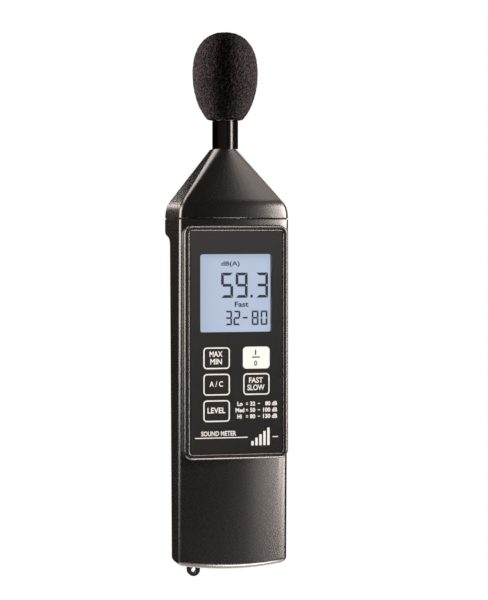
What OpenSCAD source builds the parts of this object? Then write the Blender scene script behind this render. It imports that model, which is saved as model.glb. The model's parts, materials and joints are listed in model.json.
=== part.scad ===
// Handheld sound level meter.
// A tapered plastic case with a membrane keypad and a deep-set display, a
// pyramid head, a microphone on a short neck and a push-on foam windscreen.
// Millimetres. The meter stands along +Z and its keypad faces -Y.
// The origin is the mouth of the tripod thread in the middle of the back.
// Inside the modules, heights count from the seam under the head and depths
// from the axis of the neck; the module "placed" moves them to the origin.

/* [Case] */
// Width of the case
case_w = 55; // [54.5:0.5:56]
// Depth of the front ahead of the neck axis, at the seam
front_top = 23; // [22.8:0.1:23.2]
// Depth of the front ahead of the neck axis, at the foot
front_foot = 19.8; // [19.7:0.1:20.2]
// Depth of the shoulder behind the neck axis
shoulder_back = 17.9; // [17:0.1:19]
// Depth of the back behind the neck axis, just under the shoulder
back_top = 5.9; // [5.7:0.1:6.1]
// Depth of the back behind the neck axis, at the foot
back_foot = 2.4; // [2.3:0.1:2.6]
// Length from the seam to the foot
case_len = 170.8; // [170.8:0.1:172]
// Radius of the crowned front
crown_r = 105; // [100:5:120]
// Wall thickness
wall = 1.8; // [1.7:0.1:2]
// Depth ahead of the neck axis where front and rear shells meet
split_y = 4; // [3.8:0.1:4.2]

/* [Head and neck] */
// Height of the head above the seam
head_h = 34.3; // [33:0.1:36]
// Height at which the head starts to taper
skirt_h = 9.6; // [9:0.1:10]
// Outer diameter of the neck
neck_d = 12.8; // [12.7:0.1:13]
// Height of the top of the neck tube
neck_top = 62; // [60:1:64]
// Height of the microphone's tip
mic_tip = 77.6; // [77:0.1:78]

/* [Windscreen] */
// Largest diameter of the foam
foam_d = 32.4; // [30:0.1:34]
// Height of the flat base of the foam
foam_base = 48.6; // [48:0.1:49]
// Height of the top of the foam
foam_top = 92.1; // [91:0.1:94]

/* [Keypad] */
// Width of the overlay
foil_w = 46; // [45.8:0.1:46.2]
// Height of the overlay
foil_h = 109.8; // [109.6:0.1:110]
// Distance from the seam to the top of the overlay
foil_drop = 5; // [4.9:0.1:5.1]
// Depth of the overlay's face ahead of the neck axis
foil_y = 24.1; // [24.1:0.1:24.3]
// Width of a key
key_w = 13.7; // [13:0.1:14]
// Height of a key
key_h = 11; // [10.5:0.1:11]
// Distance between the two columns of keys
key_pitch_x = 19.9; // [19.5:0.1:20.2]
// Distance between the rows of keys
key_pitch_z = 12.85; // [12.7:0.05:13]
// Distance from the seam to the middle of the first row
key_drop = 67.7; // [67.5:0.1:68]
// Travel of a key
key_travel = 0.4; // [0.3:0.05:0.4]

/* [Display] */
// Width of the opening
window_w = 35.9; // [35.5:0.1:36.2]
// Height of the opening
window_h = 37.9; // [37.5:0.1:38.2]
// Distance from the seam to the middle of the opening
window_drop = 36.2; // [36:0.1:36.4]
// Depth of the display glass behind the overlay's face
glass_depth = 5.5; // [5.3:0.1:5.6]

/* [Battery bay] */
// Width of the sliding cover
cover_w = 36.8; // [36:0.2:37]
// Distance from the seam to the top edge of the cover
cover_drop = 118; // [117.8:0.1:118.4]
// Width of the battery
battery_w = 26.2; // [25.5:0.1:26.4]
// Thickness of the battery
battery_t = 16.8; // [16.5:0.1:16.9]
// Length of the battery without its terminals
battery_len = 46.2; // [45.5:0.1:46.4]

/* [Fasteners] */
// Height of the tripod thread below the seam
thread_drop = 62; // [60:1:66]
// Bore of the tripod thread, a quarter-inch 20 thread's minor diameter
thread_d = 5.1; // [5:0.05:5.2]
// Length of the tripod thread
thread_len = 7; // [6:0.5:7.5]
// Hole for a wrist lanyard
eyelet_d = 2.5; // [2.3:0.1:2.7]

/* [Hidden] */
$fn = 64;
round_fn = 32; // facets of the shapes that are hulled

thin = 0.05; // thickness of the slices that a hull joins
edge_r = 1.6; // front edges of the case
back_r = 4; // back edges of the case
groove = 0.5; // each side of the V groove at the seam
shoulder_h = 7; // straight part of the shoulder
shoulder_foot = 11.5; // where the shoulder meets the back
slope = atan((back_top - back_foot) / (case_len - shoulder_foot));

foil_t = 0.4;
spacer_t = 2 * key_travel;
circuit_t = 0.3;
spacer_y = foil_y - foil_t;
circuit_y = spacer_y - spacer_t;
floor_y = circuit_y - circuit_t; // floor of the panel, which the keypad is glued to
rim_y = foil_y + 0.7; // face of the raised rim round the overlay
rim_w = 52; // outer width of the rim
rim_h = foil_h + 3.6; // outer height of the rim
rim_r = 4;
rim_root_y = 16.6; // depth that the walls of the raised panel reach down to
foil_r = 2.6;
foil_z = -foil_drop - foil_h / 2;
window_z = -window_drop;
window_r = 1.2;
lens_grow = 2.4; // the lens is this much larger than its opening
key_r = 2;
key_gap = 0.15;
key_proud = 0.15;
key_z = [for (row = [0:2]) -key_drop - row * key_pitch_z];
key_x = key_pitch_x / 2;
key_places = [
    [-key_x, key_z[0]], [key_x, key_z[0]],
    [-key_x, key_z[1]], [key_x, key_z[1]],
    [-key_x, key_z[2]]
];

glass_y = foil_y - glass_depth; // face of the display glass
glass_t = 2.2;
board_y = 13.2; // face of the main board
board_t = 1.6;
board_w = 47;
board_top = -10.5;
board_foot = -108;
board_back = board_y - board_t;

boss_x = 20.8; // the four case screws
boss_z = [-6, -113];
boss_r = 3;
lug_t = 2.4; // lugs of the head, held under the upper screws
screw_head_r = 2.4;
post_x = 21; // the two board screws
post_z = -100;

trimmer_y = 7; // axis of the calibration trimmer
trimmer_z = -26;
trimmer_hole_r = 2;

thread_z = -thread_drop;
back_at_thread = back_top - (thread_drop - shoulder_foot) * tan(slope);
mouth_y = back_at_thread + 0.5; // mouth of the tripod thread, on its boss

battery_foot = -168.2;
battery_back = -0.2; // back face of the battery, behind the neck axis
battery_gap = 0.2; // clearance round the battery
eyelet_x = -16.9;
eyelet_z = -173.9;
eyelet_r = 3.15;
eyelet_front = -3.8;
eyelet_t = 2.4;

// Moves a shape from the neck axis and the seam to the tripod thread.
module placed() {
    translate([0, -mouth_y, -thread_z]) children();
}

// An exact rounded rectangle round the origin.
module rounded_rect(w, h, r) {
    square([w - 2 * r, h], center = true);
    square([w, h - 2 * r], center = true);
    for (x = [-1, 1], y = [-1, 1])
        translate([x * (w / 2 - r), y * (h / 2 - r)]) circle(r);
}

// A plate in the XZ plane: its face is at depth "face", ahead of the axis.
module plate(w, h, r, face, t, x = 0, z = 0) {
    translate([x, -face, z]) rotate([-90, 0, 0]) linear_extrude(t) rounded_rect(w, h, r);
}

// A block from corner to corner.
module block(low, high) {
    translate(low) cube(high - low);
}

// A cylinder along +Y from y0 to y1.
module y_rod(x, z, r, y0, y1) {
    translate([x, y0, z]) rotate([-90, 0, 0]) cylinder(h = y1 - y0, r = r);
}

// A cylinder along +X from x0 to x1.
module x_rod(y, z, r, x0, x1) {
    translate([x0, y, z]) rotate([0, 90, 0]) cylinder(h = x1 - x0, r = r);
}

// One level slice of the case: a rounded section with a crowned front.
module slice(z, front, back, inset = 0) {
    w = case_w - 2 * inset;
    d = front + back - 2 * inset;
    translate([0, 0, z]) linear_extrude(thin)
        offset(r = edge_r, $fn = round_fn) offset(delta = -edge_r)
            intersection() {
                translate([0, (back - front) / 2]) rounded_rect(w, d, back_r, $fn = round_fn);
                translate([0, crown_r - front + inset]) circle(crown_r, $fn = 180);
            }
}

function front_at(drop) = front_top + (front_foot - front_top) * drop / case_len;
function back_at(drop) = back_top
    + (back_foot - back_top) * (drop - shoulder_foot) / (case_len - shoulder_foot);

// The solid outline of the case below the seam. "inset" shrinks it to the inner wall.
module case_solid(inset = 0) {
    foot = case_len - inset;
    hull() {
        slice(-inset - thin, front_top, back_top, inset + groove);
        slice(-groove - inset, front_at(groove), back_top, inset);
        slice(-shoulder_foot, front_at(shoulder_foot), back_top, inset);
        slice(-foot + 3.8, front_at(foot - 3.8), back_at(foot - 3.8), inset);
        slice(-foot + 1.9, front_at(foot), back_at(foot), inset + 0.9);
        slice(-foot + 0.8, front_at(foot), back_at(foot), inset + 2.4);
        slice(-foot, front_at(foot), back_at(foot), inset + 6);
    }
    hull() {
        slice(-inset - thin, front_top, shoulder_back, inset + groove);
        slice(-groove - inset, front_at(groove), shoulder_back, inset);
        slice(-shoulder_h, front_at(shoulder_h), shoulder_back - 0.6, inset);
        slice(-shoulder_h - 1.6, front_at(shoulder_h), shoulder_back - 3, inset);
        slice(-shoulder_foot, front_at(shoulder_foot), back_top, inset);
    }
}

// The solid outline of the head. "inset" shrinks it to the inner wall.
module head_solid(inset = 0) {
    hull() {
        slice(0, front_top, shoulder_back, inset + groove);
        slice(groove, front_top, shoulder_back, inset);
        slice(skirt_h - 4, front_top - 0.3, shoulder_back - 0.3, inset + 0.2);
        slice(skirt_h - 1, front_top - 0.8, shoulder_back - 0.8, inset + 0.9);
        slice(skirt_h + 1, front_top - 1.6, shoulder_back - 1.6, inset + 2);
        translate([0, 0, head_h - thin - 1.5 * inset]) linear_extrude(thin)
            rounded_rect(13.8 - inset, 13.8 - inset, 4.5 - inset / 2, $fn = round_fn);
    }
}

// Holes through the shells at the four case screws.
module boss_bores(r, y0, y1) {
    for (x = [-boss_x, boss_x], z = boss_z) y_rod(x, z, r, y0, y1);
}

// Everything in front of, or behind, the plane where the shells meet.
module front_half() {
    block([-60, -60, -240], [60, -split_y, 60]);
}

module rear_half() {
    block([-60, -split_y, -240], [60, 60, 60]);
}

// Shapes on the sloping back: y is outwards from the back face, z runs up it.
module on_back() {
    translate([0, back_top, -shoulder_foot]) rotate([-slope, 0, 0]) children();
}

// A round wire along a cubic curve through four guide points.
function bezier(p, t) = pow(1 - t, 3) * p[0] + 3 * pow(1 - t, 2) * t * p[1]
    + 3 * (1 - t) * t * t * p[2] + pow(t, 3) * p[3];
function unit(v) = v / norm(v);

module wire(p, d, rings = 20, sides = 8) {
    route = [for (i = [0:rings]) bezier(p, i / rings)];
    points = [
        for (i = [0:rings])
            let (along = unit(route[min(i + 1, rings)] - route[max(i - 1, 0)]))
            let (across = unit(cross([1, 0, 0], along)))
            let (other = cross(along, across))
            for (k = [0:sides - 1])
                route[i] + d / 2 * (cos(360 * k / sides) * across + sin(360 * k / sides) * other)
    ];
    skin = [
        for (i = [0:rings - 1], k = [0:sides - 1])
            let (n = (k + 1) % sides)
            [i * sides + k, (i + 1) * sides + k, (i + 1) * sides + n, i * sides + n]
    ];
    first = [for (k = [0:sides - 1]) k];
    last = [for (k = [sides - 1:-1:0]) rings * sides + k];
    polyhedron(points, concat([first], skin, [last]), convexity = 6);
}

// Half of the foam's outline at a height, as a radius.
foam_belly = 71.5;
foam_tail = 26.9;
function foam_r(z) = z > foam_belly
    ? foam_d / 2 * pow(max(0, 1 - pow((z - foam_belly) / (foam_top - foam_belly), 2.3)), 1 / 2.3)
    : foam_d / 2 * sqrt(1 - pow((foam_belly - z) / foam_tail, 2));

module windscreen() {
    steps = 14;
    low = [
        for (i = [0:steps - 1])
            let (z = foam_base + (foam_belly - foam_base) * i / steps) [foam_r(z), z]
    ];
    high = [
        for (i = [0:steps - 1])
            let (z = foam_belly + (foam_top - foam_belly) * sin(90 * i / steps)) [foam_r(z), z]
    ];
    bore_r = neck_d / 2 + 0.1; // a light push fit on the neck
    bore_top = mic_tip + 0.4;
    color("#2E2B29") placed() rotate_extrude()
        polygon(concat([[bore_r, foam_base]], low, high, [[0, foam_top], [0, bore_top], [bore_r, bore_top]]));
}

mic_r = 6.35;
grid_h = mic_tip - neck_top;

module microphone_grid() {
    color("#3A3A3C") placed() difference() {
        translate([0, 0, neck_top]) cylinder(h = grid_h, r = mic_r);
        translate([0, 0, neck_top - 1]) cylinder(h = grid_h, r = mic_r - 0.7);
        for (a = [0:60:300]) rotate(a) translate([3.6, 0, mic_tip - 2]) cylinder(h = 3, r = 1);
        translate([0, 0, mic_tip - 2]) cylinder(h = 3, r = 1);
    }
}

module microphone_capsule() {
    color("#B8B9BB") placed() union() {
        translate([0, 0, mic_tip - 9]) cylinder(h = 6.6, r = 4.85);
        translate([0, 0, mic_tip - 2.4]) cylinder(h = 0.6, r = 4);
    }
}

module capsule_sleeve() {
    color("#26262A") placed() difference() {
        translate([0, 0, neck_top + 0.4]) cylinder(h = mic_tip - 2.9 - neck_top - 0.4, r = mic_r - 0.7);
        translate([0, 0, mic_tip - 9]) cylinder(h = 10, r = 4.85);
        translate([0, 0, neck_top]) cylinder(h = 10, r = 3.6);
    }
}

tube_foot = 20;

module neck_tube() {
    color("#151515") placed() difference() {
        union() {
            translate([0, 0, tube_foot]) cylinder(h = neck_top - tube_foot, r = neck_d / 2);
            translate([0, 0, tube_foot]) cylinder(h = 1.6, r = neck_d / 2 + 1.2);
        }
        translate([0, 0, tube_foot - 1]) cylinder(h = neck_top - tube_foot + 2, r = neck_d / 2 - 1.1);
    }
}

module preamp_board() {
    color("#1F6B3A") placed() union() {
        block([-4.4, 0, 16], [4.4, 1, 60]);
        for (z = [26:8:50]) block([-1.9, -1.4, z], [1.9, 0, z + 3.2]);
        block([-2.6, -1.8, 17], [2.6, 0, 20]);
    }
}

plug_x = -13;
plug_z = -15;
plug_t = 6;

module microphone_lead() {
    lead_y = -board_back + 3;
    color("#5B5D60") placed()
        wire([[0, 2.2, 16.4], [0, 2.2, -2], [plug_x, lead_y, 8], [plug_x, lead_y, plug_z + 3]], 2.2);
}

module microphone_plug() {
    color("#E6E2D6") placed()
        block([plug_x - 4, -board_back, plug_z - 3], [plug_x + 4, -board_back + plug_t, plug_z + 3]);
}

module head_shell() {
    lug_y = -split_y - lug_t;
    color("#24221F") placed() difference() {
        union() {
            difference() {
                head_solid();
                difference() {
                    head_solid(wall);
                    translate([0, 0, tube_foot + 1.6]) cylinder(h = 20, r = neck_d / 2 + 2);
                }
            }
            for (s = [-1, 1]) {
                block([s * boss_x - 3, lug_y, boss_z[0] - 3], [s * boss_x + 3, -split_y, 4]);
                intersection() {
                    head_solid(0.4);
                    block([s * boss_x - 6, lug_y, groove], [s * boss_x + 6, -split_y, 4]);
                }
            }
        }
        translate([0, 0, tube_foot - 4]) cylinder(h = 30, r = neck_d / 2);
        translate([0, 0, tube_foot - 20]) cylinder(h = 21.6, r = neck_d / 2 + 1.2);
        for (x = [-boss_x, boss_x]) y_rod(x, boss_z[0], 1.4, lug_y - 1, 0);
    }
}

opening_x = 24.2; // half width of the opening in the case's top wall
opening_front = 12;

// The opening that the head's lugs and the microphone lead pass through.
module top_opening() {
    block([-opening_x, -opening_front, -wall - 1], [opening_x, -split_y + 1, 1]);
}

module panel_recess() {
    plate(foil_w + 0.3, foil_h + 0.3, foil_r, rim_y + 1, rim_y + 1 - floor_y, z = foil_z);
}

// The space round the battery.
module battery_space() {
    half = battery_w / 2 + battery_gap;
    block(
        [-half, battery_back - battery_t - battery_gap, battery_foot - battery_gap],
        [half, battery_back + battery_gap, battery_foot + battery_len + 8]
    );
}

module front_shell() {
    bay = battery_w / 2 + 0.4;
    tail_z = -103;
    pocket_w = rim_w - 2 * wall;
    pocket_h = rim_h - 2 * wall;
    color("#24221F") placed() difference() {
        union() {
            difference() {
                intersection() {
                    case_solid();
                    front_half();
                }
                case_solid(wall);
                plate(pocket_w, pocket_h, rim_r - wall, floor_y - wall, 6, z = foil_z);
            }
            difference() {
                plate(rim_w, rim_h, rim_r, rim_y, rim_y - rim_root_y, z = foil_z);
                plate(pocket_w, pocket_h, rim_r - wall, floor_y - wall, 9, z = foil_z);
            }
            intersection() {
                case_solid(0.4);
                union() {
                    for (x = [-boss_x, boss_x]) {
                        y_rod(x, boss_z[0], boss_r, -front_top, -split_y - lug_t);
                        y_rod(x, boss_z[1], boss_r, -front_top, -split_y);
                    }
                    for (s = [-1, 1]) block(
                        [s > 0 ? bay : -bay - 1.2, -front_top, -case_len],
                        [s > 0 ? bay + 1.2 : -bay, -split_y, -cover_drop]
                    );
                }
            }
            for (x = [-post_x, post_x]) y_rod(x, post_z, 2.4, -floor_y + 0.5, -board_y);
        }
        panel_recess();
        top_opening();
        plate(window_w, window_h, window_r, front_top + 2, 9, z = window_z);
        block([-6, -front_top - 1, tail_z - 0.6], [6, -10, tail_z + 0.6]);
        boss_bores(1, -front_top + 3.4, 0);
        for (x = [-post_x, post_x]) y_rod(x, post_z, 0.9, -floor_y + 2, 0);
        x_rod(-trimmer_y, trimmer_z, trimmer_hole_r, 10, 60);
        battery_space();
    }
}

rail_in = 1.4; // how far the cover's tongues lie under the back wall
tongue_t = 1.1;
rail_foot = -156;
slide_gap = 0.2;

// The space in the back wall that the cover fills.
module cover_space(gap) {
    half = cover_w / 2 + gap;
    top = shoulder_foot - cover_drop + gap;
    on_back() block([-half, -wall - gap, -200], [half, 10, top]);
}

module rear_shell() {
    half = cover_w / 2;
    rail_top = shoulder_foot - cover_drop - 2;
    under = -wall - tongue_t - 2 * slide_gap;
    outer = half + rail_in + slide_gap + 1.2;
    inner = half - 0.4;
    color("#24221F") placed() union() {
        difference() {
            union() {
                intersection() {
                    difference() {
                        case_solid();
                        case_solid(wall);
                    }
                    rear_half();
                }
                intersection() {
                    case_solid(0.4);
                    union() {
                        for (x = [-boss_x, boss_x], z = boss_z)
                            y_rod(x, z, boss_r, -split_y, shoulder_back);
                        y_rod(0, thread_z, 7, mouth_y - thread_len - 2.4, mouth_y);
                    }
                }
                y_rod(0, thread_z, 7, mouth_y - 3, mouth_y);
                y_rod(eyelet_x, eyelet_z, eyelet_r, eyelet_front, eyelet_front + eyelet_t);
                block(
                    [eyelet_x - eyelet_r, eyelet_front, eyelet_z],
                    [eyelet_x + eyelet_r, eyelet_front + eyelet_t, -case_len + 2.2]
                );
            }
            cover_space(slide_gap);
            on_back() block(
                [-half - rail_in - slide_gap, under + slide_gap, -200],
                [half + rail_in + slide_gap, -wall, rail_top]
            );
            y_rod(0, thread_z, insert_r, mouth_y - thread_len - 0.4, mouth_y + 1);
            boss_bores(1.5, -10, 40);
            boss_bores(screw_head_r + 0.2, 0.4, 40);
            y_rod(eyelet_x, eyelet_z, eyelet_d / 2, -8, 4);
            battery_space();
        }
        on_back() for (s = [-1, 1]) {
            block(
                [s > 0 ? inner : -outer, under - 0.9, rail_foot],
                [s > 0 ? outer : -inner, under, rail_top]
            );
            block(
                [s > 0 ? outer - 1.2 : -outer, under - 0.5, rail_foot],
                [s > 0 ? outer : -outer + 1.2, -wall + 0.2, rail_top]
            );
        }
    }
}

module case_screws() {
    color("#8C8E90") placed() for (x = [-boss_x, boss_x], z = boss_z) difference() {
        union() {
            y_rod(x, z, 1, -13, 0.4);
            y_rod(x, z, screw_head_r, 0.4, 1.8);
        }
        block([x - 1.7, 1.1, z - 0.3], [x + 1.7, 3, z + 0.3]);
        block([x - 0.3, 1.1, z - 1.7], [x + 0.3, 3, z + 1.7]);
    }
}

module key_holes(grow, face, t) {
    for (place = key_places)
        plate(key_w + grow, key_h + grow, key_r, face, t, x = place[0], z = place[1]);
}

// The hole that the display's lens lies in, with 0.2 clearance all round.
module lens_hole(face, t) {
    grow = lens_grow + 0.4;
    plate(window_w + grow, window_h + grow, window_r, face, t, z = window_z);
}

module keypad_overlay() {
    color("#3A3734") placed() difference() {
        plate(foil_w, foil_h, foil_r, foil_y, foil_t, z = foil_z);
        plate(window_w, window_h, window_r, foil_y + 1, foil_t + 2, z = window_z);
        key_holes(0, foil_y + 1, foil_t + 2);
    }
}

module keypad_spacer() {
    color("#C9C6BC") placed() difference() {
        plate(foil_w, foil_h, foil_r, spacer_y, spacer_t, z = foil_z);
        lens_hole(spacer_y + 1, spacer_t + 2);
        key_holes(0.6, spacer_y + 1, spacer_t + 2);
    }
}

module keypad_circuit() {
    color("#B9B08E") placed() difference() {
        plate(foil_w, foil_h, foil_r, circuit_y, circuit_t, z = foil_z);
        lens_hole(circuit_y + 1, circuit_t + 2);
        block([-6, -circuit_y - 1, -103.6], [6, -circuit_y + 2, -102.4]);
    }
}

module keypad_tail() {
    color("#C8A24A") placed() union() {
        block([-5.5, -circuit_y, -103.15], [5.5, -board_y - 2.6, -102.85]);
        block([-5.5, -board_y - 2.6, -105.5], [5.5, -board_y - 2.3, -102.85]);
    }
}

module tail_connector() {
    color("#E6E2D6") placed() block([-7.5, -board_y - 2.3, -107], [7.5, -board_y, -103.4]);
}

dome_rise = key_travel - 0.06;
dome_r = 4.6;
dome_t = 0.12;
function dome_h(r) = dome_rise * (1 - pow(r / dome_r, 2));

module snap_domes() {
    steps = 6;
    top = [for (i = [0:steps]) let (r = dome_r * i / steps) [r, max(0.04, dome_h(r))]];
    under = [for (i = [steps:-1:0]) let (r = dome_r * i / steps) [r, max(0, dome_h(r) - dome_t)]];
    color("#D4D5D6") placed() for (place = key_places)
        translate([place[0], -circuit_y, place[1]]) rotate([90, 0, 0]) rotate_extrude()
            polygon(concat(top, under));
}

module key(i) {
    plate(
        key_w - 2 * key_gap, key_h - 2 * key_gap, key_r - key_gap, foil_y + key_proud, foil_t + key_proud,
        x = key_places[i][0], z = key_places[i][1]
    );
}

module max_min_key() {
    color("#3A3734") placed() key(0);
}

module power_key() {
    color("#E9E7E2") placed() key(1);
}

module weighting_key() {
    color("#3A3734") placed() key(2);
}

module response_key() {
    color("#3A3734") placed() key(3);
}

module level_key() {
    color("#3A3734") placed() key(4);
}

module display_window() {
    color("#DDE6EC", 0.4) placed() plate(
        window_w + lens_grow, window_h + lens_grow, window_r, spacer_y, spacer_y - floor_y, z = window_z
    );
}

frame_w = 43.6;
frame_h = 49;
glass_w = 40;
glass_h = 44;

module display_frame() {
    top = floor_y - 2.2;
    color("#2B2A28") placed() difference() {
        plate(frame_w, frame_h, 1, top, top - board_y, z = window_z);
        plate(window_w + 0.6, window_h + 0.6, window_r, top + 1, 9, z = window_z);
        plate(glass_w + 0.2, glass_h + 0.2, 0.5, glass_y, glass_y - board_y + 1, z = window_z);
    }
}

module display_glass() {
    color("#B8C8E0") placed() plate(glass_w, glass_h, 0.4, glass_y, glass_t, z = window_z);
}

module zebra_strips() {
    y = glass_y - glass_t;
    half = glass_w / 2 - 1;
    color("#D98CA0") placed() for (s = [-1, 1])
        block([-half, -y, window_z + s * 20 - 1.1], [half, -board_y, window_z + s * 20 + 1.1]);
}

module main_board() {
    color("#1F6B3A") placed() difference() {
        plate(board_w, board_top - board_foot, 1, board_y, board_t, z = (board_top + board_foot) / 2);
        for (x = [-post_x, post_x]) y_rod(x, post_z, 1.3, -20, 0);
    }
}

module board_screws() {
    color("#8C8E90") placed() for (x = [-post_x, post_x]) difference() {
        union() {
            y_rod(x, post_z, 0.9, -board_y - 5, -board_back);
            y_rod(x, post_z, 2, -board_back, -board_back + 1.3);
        }
        block([x - 1.4, -board_back + 0.7, post_z - 0.3], [x + 1.4, 0, post_z + 0.3]);
    }
}

module processor_chip() {
    color("#1B1B1D") placed() block([-7, -board_back, -94], [7, -board_back + 1.5, -80]);
}

module amplifier_chips() {
    color("#1B1B1D") placed() for (z = [-32, -42, -52])
        block([-16, -board_back, z - 2.5], [-12, -board_back + 1.6, z + 2.5]);
}

module capacitors() {
    color("#2F4F9E") placed() for (z = [-34, -44, -54])
        y_rod(14, z, 3.1, -board_back, -board_back + 7);
}

trimmer_in = 14;
trimmer_out = 22.6;

module trimmer_body() {
    color("#2E5FB0") placed() difference() {
        block([trimmer_in, -board_back, trimmer_z - 4.7], [trimmer_out, -2.6, trimmer_z + 4.7]);
        x_rod(-trimmer_y, trimmer_z, 1.75, trimmer_out - 2, trimmer_out + 1);
    }
}

module trimmer_screw() {
    color("#C9A24B") placed() difference() {
        x_rod(-trimmer_y, trimmer_z, 1.7, trimmer_out - 1.95, trimmer_out + 0.7);
        block(
            [trimmer_out, -trimmer_y - 2, trimmer_z - 0.35],
            [trimmer_out + 2, -trimmer_y + 2, trimmer_z + 0.35]
        );
    }
}

insert_r = 4.5;

module tripod_insert() {
    color("#C9A24B") placed() difference() {
        y_rod(0, thread_z, insert_r, mouth_y - thread_len, mouth_y);
        y_rod(0, thread_z, thread_d / 2, mouth_y - thread_len - 1, mouth_y + 1);
    }
}

module rating_label() {
    color("#C9CACB") placed() on_back()
        translate([0, 0.2, -84]) rotate([90, 0, 0]) linear_extrude(0.2) rounded_rect(38, 26, 1.5);
}

module battery_cover() {
    half = cover_w / 2;
    rail_top = shoulder_foot - cover_drop - 2 - slide_gap;
    color("#24221F") placed() difference() {
        union() {
            intersection() {
                case_solid();
                cover_space(0);
            }
            on_back() block(
                [-half - rail_in, -wall - slide_gap - tongue_t, rail_foot],
                [half + rail_in, -wall - slide_gap, rail_top]
            );
            on_back() block([-half, -wall - slide_gap, rail_foot], [half, -wall + 0.1, rail_top]);
        }
        on_back() block(
            [-half + 2.4, -wall - slide_gap - tongue_t - 1, rail_foot - 1],
            [half - 2.4, -wall, rail_top + 1]
        );
        on_back() for (i = [0:5]) block([-9, -0.5, -113.5 - 2.4 * i], [9, 2, -112.3 - 2.4 * i]);
    }
}

module battery() {
    color("#3B4656") placed() block(
        [-battery_w / 2, battery_back - battery_t, battery_foot],
        [battery_w / 2, battery_back, battery_foot + battery_len]
    );
}

battery_top = battery_foot + battery_len;
pole_x = 6.35;
pole_y = battery_back - battery_t / 2;

module battery_terminals() {
    color("#C4C6C8") placed() for (s = [-1, 1])
        translate([s * pole_x, pole_y, battery_top]) cylinder(h = 2.3, r = s > 0 ? 3.4 : 2.9);
}

module battery_snap() {
    color("#1D1D1F") placed() difference() {
        block([-13, pole_y - 6, battery_top + 0.2], [13, pole_y + 6, battery_top + 4.6]);
        for (s = [-1, 1])
            translate([s * pole_x, pole_y, battery_top - 1]) cylinder(h = 3.6, r = 3.6);
    }
}

snap_top = battery_top + 4.6;

module red_lead() {
    color("#B3261E") placed() wire(
        [[4, pole_y, snap_top], [4, pole_y, snap_top + 6], [9, 2, -104], [9, -board_back, -104]], 1.3
    );
}

module black_lead() {
    color("#17171A") placed() wire(
        [[-4, pole_y, snap_top], [-4, pole_y, snap_top + 6], [-9, 2, -104], [-9, -board_back, -104]], 1.3
    );
}

pad_t = 0.8;
pad_top = -118.5;
pad_foot = -143.5;

// Stuck inside the cover, over the battery.
module battery_pad() {
    color("#3C3C3F") placed() on_back() block([-9, -wall - pad_t, pad_foot], [9, -wall, pad_top]);
}

windscreen();
microphone_grid();
microphone_capsule();
capsule_sleeve();
neck_tube();
preamp_board();
microphone_lead();
microphone_plug();
head_shell();
front_shell();
rear_shell();
case_screws();
keypad_overlay();
keypad_spacer();
keypad_circuit();
keypad_tail();
snap_domes();
power_key();
max_min_key();
weighting_key();
response_key();
level_key();
display_window();
display_frame();
display_glass();
zebra_strips();
main_board();
board_screws();
processor_chip();
amplifier_chips();
capacitors();
tail_connector();
trimmer_body();
trimmer_screw();
tripod_insert();
rating_label();
battery_cover();
battery();
battery_terminals();
battery_snap();
red_lead();
black_lead();
battery_pad();
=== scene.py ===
import json
import math

import bmesh
import bpy
from mathutils import Matrix, Vector, noise

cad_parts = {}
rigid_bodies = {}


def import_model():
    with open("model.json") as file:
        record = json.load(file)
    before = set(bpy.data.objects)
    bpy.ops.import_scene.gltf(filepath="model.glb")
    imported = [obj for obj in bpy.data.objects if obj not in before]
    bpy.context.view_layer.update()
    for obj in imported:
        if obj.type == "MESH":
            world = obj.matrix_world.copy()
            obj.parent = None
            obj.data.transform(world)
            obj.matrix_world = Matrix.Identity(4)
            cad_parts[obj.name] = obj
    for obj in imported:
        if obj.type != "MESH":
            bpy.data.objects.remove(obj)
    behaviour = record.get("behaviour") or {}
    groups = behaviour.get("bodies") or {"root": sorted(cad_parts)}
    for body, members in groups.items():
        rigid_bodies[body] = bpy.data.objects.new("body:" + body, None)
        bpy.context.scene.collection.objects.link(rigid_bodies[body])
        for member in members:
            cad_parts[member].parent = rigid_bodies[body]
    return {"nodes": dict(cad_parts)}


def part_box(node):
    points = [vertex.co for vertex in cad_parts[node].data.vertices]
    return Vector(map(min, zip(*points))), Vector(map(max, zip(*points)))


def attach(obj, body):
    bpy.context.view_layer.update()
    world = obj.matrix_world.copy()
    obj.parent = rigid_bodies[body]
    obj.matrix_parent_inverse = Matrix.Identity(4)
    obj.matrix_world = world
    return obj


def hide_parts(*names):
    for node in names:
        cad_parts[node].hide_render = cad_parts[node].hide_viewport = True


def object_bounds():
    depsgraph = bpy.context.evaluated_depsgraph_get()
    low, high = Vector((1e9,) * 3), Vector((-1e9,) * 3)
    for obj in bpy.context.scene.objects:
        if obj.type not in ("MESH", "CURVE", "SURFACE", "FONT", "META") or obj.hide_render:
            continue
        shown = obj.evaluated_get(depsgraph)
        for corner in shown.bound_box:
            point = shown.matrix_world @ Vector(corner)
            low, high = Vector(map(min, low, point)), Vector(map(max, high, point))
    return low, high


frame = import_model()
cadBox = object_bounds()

# All shapes are drawn in millimetres from the axis of the neck, at the seam under the head, and are
# moved into the frame when a piece is finished.
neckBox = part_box("neck_tube")
axisY = (neckBox[0][1] + neckBox[1][1]) / 2
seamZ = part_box("front_shell")[1][2]
root = "meter"


def cad(node):
    # lowest and highest corner of a CAD node, in millimetres from the neck axis and the seam
    low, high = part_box(node)
    shift = Vector((0, axisY, seamZ))
    return (Vector(low) - shift) * 1000, (Vector(high) - shift) * 1000


def linear(code):
    # sRGB hex to linear colour
    parts = [int(code[i:i + 2], 16) / 255 for i in (1, 3, 5)]
    return tuple(c / 12.92 if c <= 0.04045 else ((c + 0.055) / 1.055) ** 2.4 for c in parts) + (1.0,)


def addNode(tree, kind, settings=None, links=None):
    node = tree.nodes.new(kind)
    for key, value in (settings or {}).items():
        if isinstance(key, int) or key in node.inputs:
            node.inputs[key].default_value = value
        else:
            setattr(node, key, value)
    for key, source in (links or {}).items():
        tree.links.new(source, node.inputs[key])
    return node


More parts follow.
